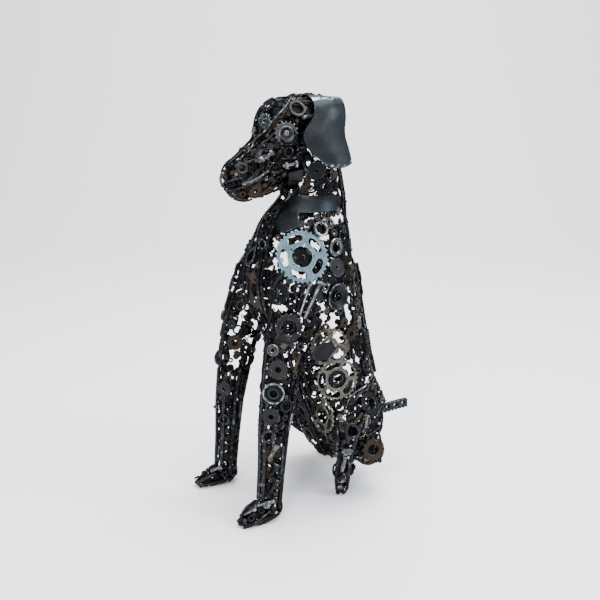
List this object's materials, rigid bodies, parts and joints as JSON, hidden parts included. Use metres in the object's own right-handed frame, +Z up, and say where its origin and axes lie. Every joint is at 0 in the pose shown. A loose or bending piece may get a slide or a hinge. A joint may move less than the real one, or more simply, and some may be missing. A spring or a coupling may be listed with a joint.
{
  "type": "scrap metal dog sculpture",
  "caption": "Sitting hound with hanging ears, welded from sprockets, gears, rings, bolts, rods and bent sheet over an openwork scrap skin, standing on its own feet",
  "frame": {"origin": "the middle of the footprint's box, on the floor that the four soles stand on", "axes": "+Z up, -Y the way the dog faces, +X the dog's own left side, which the picture shows"},
  "size_m": [0.3894, 0.6036, 1.0269],
  "materials": {
    "scrap_steel": "oily unpainted scrap steel with brown rust in the joints",
    "dark_steel": "dark oiled steel, rubbed bright on its edges",
    "rusty_steel": "rusted steel, brown and dry",
    "tan_steel": "worn tan plating over steel",
    "blue_steel": "pale blue worn plated steel",
    "bright_steel": "bare bright steel",
    "ear_steel": "rolled blue-grey sheet steel with ground bright bends"
  },
  "bodies": {
    "root": {"back_gear": "dark_steel", "back_scrap": "scrap_steel", "breast_gear": "dark_steel", "brow_gear": "blue_steel", "cheek_bolt": "bright_steel", "chest_ring": "dark_steel", "chest_scrap": "scrap_steel", "chest_sprocket": "rusty_steel", "collar_plate": "dark_steel", "elbow_gear": "dark_steel", "flank_gear": "dark_steel", "flank_spring": "dark_steel", "forearm_gear": "dark_steel", "haunch_bolt": "bright_steel", "haunch_gear": "dark_steel", "haunch_ring": "dark_steel", "haunch_rod": "bright_steel", "hock_gear": "rusty_steel", "jaw_gear": "dark_steel", "jaw_hinge_bolt": "bright_steel", "knee_hub": "bright_steel", "left_back_rod": "dark_steel", "left_ear": "ear_steel", "left_eye": "bright_steel", "left_eye_gear": "dark_steel", "left_flank_scrap": "scrap_steel", "left_foreleg_scrap": "scrap_steel", "left_hind_leg_scrap": "scrap_steel", "left_lip_rod": "dark_steel", "left_ridge_rod": "dark_steel", "loin_gear": "rusty_steel", "long_upper_arm_bolt": "bright_steel", "middle_flank_sprocket": "dark_steel", "muzzle_scrap": "scrap_steel", "neck_disc": "dark_steel", "neck_gear": "dark_steel", "neck_scrap": "scrap_steel", "right_back_rod": "dark_steel", "right_ear": "ear_steel", "right_elbow_gear": "dark_steel", "right_eye": "bright_steel", "right_eye_gear": "dark_steel", "right_flank_scrap": "scrap_steel", "right_flank_sprocket": "rusty_steel", "right_foreleg_scrap": "scrap_steel", "right_haunch_gear": "dark_steel", "right_hind_leg_scrap": "scrap_steel", "right_knee_hub": "dark_steel", "right_shoulder_sprocket": "dark_steel", "shin_gear": "dark_steel", "shoulder_bearing": "bright_steel", "shoulder_chrome_ring": "bright_steel", "shoulder_hub": "dark_steel", "shoulder_sprocket": "blue_steel", "shoulder_washer_disc": "dark_steel", "skull_scrap": "scrap_steel", "tail_rack": "dark_steel", "temple_ring": "dark_steel", "upper_flank_sprocket": "tan_steel"}
  },
  "joints": []
}
